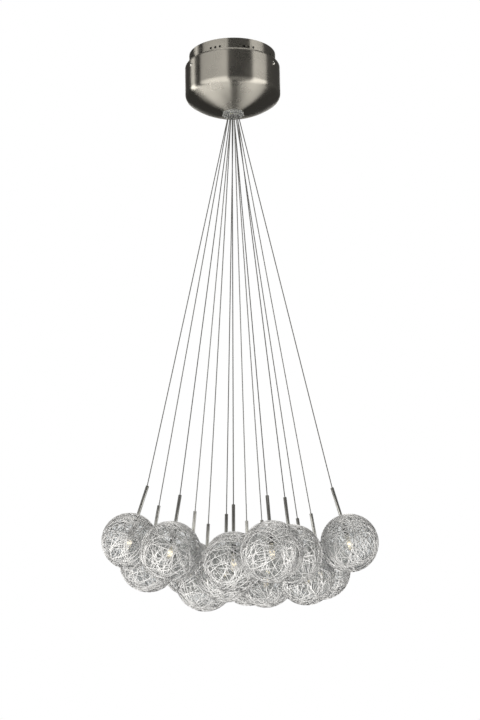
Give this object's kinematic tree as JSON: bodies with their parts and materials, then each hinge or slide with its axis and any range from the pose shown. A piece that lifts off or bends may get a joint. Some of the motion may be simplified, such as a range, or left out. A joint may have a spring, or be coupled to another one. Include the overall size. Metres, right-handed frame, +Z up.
{
  "type": "cluster pendant light",
  "caption": "Ceiling light with a domed canopy from which thin cords fan out to glass globes wrapped in wire, each with a small low-voltage lamp.",
  "frame": {"origin": "centre of the two fixing slots, on the ceiling plane", "axes": "+Z up into the ceiling, the light hangs towards -Z, its usual front is -Y, slots lie along X"},
  "size_m": [0.5211, 0.5373, 1.122],
  "materials": {
    "satin_nickel": "satin-brushed nickel plate",
    "bright_nickel": "bright nickel plate",
    "zinc_steel": "zinc-plated steel",
    "black_rubber": "moulded rubber",
    "white_plastic": "moulded plastic",
    "block_plastic": "moulded nylon",
    "brass": "bare brass",
    "clear_plastic": "polished clear acrylic",
    "nylon": "moulded nylon",
    "clear_cord": "clear sheath over silver strands",
    "clear_glass": "clear blown glass",
    "aluminium_wire": "bright drawn wire",
    "black_nickel": "dark nickel plate",
    "lamp_glass": "clear quartz glass"
  },
  "bodies": {
    "root": {"ceiling_pan": "satin_nickel", "canopy_cover": "satin_nickel", "threaded_bosses": "zinc_steel", "cover_screws": "bright_nickel", "cable_grommet": "black_rubber", "transformer": "white_plastic", "transformer_screws": "zinc_steel", "mains_terminal_block": "block_plastic", "mains_terminal_screws": "brass", "output_block": "block_plastic", "output_bus_bar": "brass", "earth_stud": "brass", "outlet_flange": "clear_plastic", "flange_nut": "zinc_steel", "cord_guide": "nylon", "cord_stops": "zinc_steel", "cord_tails": "clear_cord", "cord_05": "clear_cord", "cord_06": "clear_cord", "cord_07": "clear_cord", "cord_09": "clear_cord", "cord_12": "clear_cord"},
    "pendant_01": {"cord_01": "clear_cord", "lamp_stem_01": "satin_nickel", "globe_01": "clear_glass"},
    "pendant_02": {"cord_02": "clear_cord", "lamp_stem_02": "satin_nickel", "globe_02": "clear_glass"},
    "pendant_03": {"cord_03": "clear_cord", "lamp_stem_03": "satin_nickel", "globe_03": "clear_glass"},
    "pendant_04": {"cord_04": "clear_cord", "lamp_stem_04": "satin_nickel", "globe_04": "clear_glass"},
    "pendant_05": {"lamp_stem_05": "satin_nickel", "globe_05": "clear_glass"},
    "pendant_06": {"lamp_stem_06": "satin_nickel", "globe_06": "clear_glass"},
    "pendant_07": {"lamp_stem_07": "satin_nickel", "globe_07": "clear_glass"},
    "pendant_08": {"cord_08": "clear_cord", "lamp_stem_08": "satin_nickel", "globe_08": "clear_glass"},
    "pendant_09": {"lamp_stem_09": "satin_nickel", "globe_09": "clear_glass"},
    "pendant_10": {"cord_10": "clear_cord", "lamp_stem_10": "satin_nickel", "globe_10": "clear_glass"},
    "pendant_11": {"cord_11": "clear_cord", "lamp_stem_11": "satin_nickel", "globe_11": "clear_glass"},
    "pendant_12": {"lamp_stem_12": "satin_nickel", "globe_12": "clear_glass"},
    "pendant_13": {"cord_13": "clear_cord", "lamp_stem_13": "satin_nickel", "globe_13": "clear_glass"},
    "pendant_14": {"cord_14": "clear_cord", "lamp_stem_14": "satin_nickel", "globe_14": "clear_glass"}
  },
  "joints": [
    {"name": "pendant_01_swing", "type": "hinge", "parent": "root", "child": "pendant_01", "pos_m": [-0.00932, -0.00303, -0.128], "axis": [-0.1645, 0.9864, 0], "range_deg": [0, 25]},
    {"name": "pendant_02_swing", "type": "hinge", "parent": "root", "child": "pendant_02", "pos_m": [-0.00909, 0.00367, -0.128], "axis": [0.3789, 0.9255, 0], "range_deg": [0, 25]},
    {"name": "pendant_03_swing", "type": "hinge", "parent": "root", "child": "pendant_03", "pos_m": [-0.00519, -0.00831, -0.128], "axis": [-0.6415, 0.7671, 0], "range_deg": [0, 25]},
    {"name": "pendant_04_swing", "type": "hinge", "parent": "root", "child": "pendant_04", "pos_m": [-0.0046, 0.00865, -0.128], "axis": [0.8688, 0.4952, 0], "range_deg": [0, 25]},
    {"name": "pendant_05_turn", "type": "hinge", "parent": "root", "child": "pendant_05", "pos_m": [-0.069, 0.078, -1.0571], "axis": [0.0691, -0.0813, 0.9943], "range_deg": [-180, 180]},
    {"name": "pendant_06_turn", "type": "hinge", "parent": "root", "child": "pendant_06", "pos_m": [-0.029, -0.028, -1.0611], "axis": [0.0311, 0.03, 0.9991], "range_deg": [-180, 180]},
    {"name": "pendant_07_turn", "type": "hinge", "parent": "root", "child": "pendant_07", "pos_m": [-0.013, -0.141, -1.0661], "axis": [0.0115, 0.144, 0.9895], "range_deg": [-180, 180]},
    {"name": "pendant_08_swing", "type": "hinge", "parent": "root", "child": "pendant_08", "pos_m": [0.00204, 0.00959, -0.128], "axis": [0.9979, -0.0651, 0], "range_deg": [0, 25]},
    {"name": "pendant_09_turn", "type": "hinge", "parent": "root", "child": "pendant_09", "pos_m": [0.047, 0.086, -1.0501], "axis": [-0.0485, -0.088, 0.9949], "range_deg": [-180, 180]},
    {"name": "pendant_10_swing", "type": "hinge", "parent": "root", "child": "pendant_10", "pos_m": [0.00136, -0.00971, -0.128], "axis": [-0.9711, -0.2387, 0], "range_deg": [0, 25]},
    {"name": "pendant_11_swing", "type": "hinge", "parent": "root", "child": "pendant_11", "pos_m": [0.00728, -0.00656, -0.128], "axis": [-0.7601, -0.6498, 0], "range_deg": [0, 25]},
    {"name": "pendant_12_turn", "type": "hinge", "parent": "root", "child": "pendant_12", "pos_m": [0.122, 0.001, -1.0651], "axis": [-0.1245, -0.0033, 0.9922], "range_deg": [-180, 180]},
    {"name": "pendant_13_swing", "type": "hinge", "parent": "root", "child": "pendant_13", "pos_m": [0.00772, 0.00603, -0.128], "axis": [0.6086, -0.7935, 0], "range_deg": [0, 25]},
    {"name": "pendant_14_swing", "type": "hinge", "parent": "root", "child": "pendant_14", "pos_m": [0.00979, -0.00034, -0.128], "axis": [-0.3099, -0.9508, 0], "range_deg": [0, 25]}
  ]
}
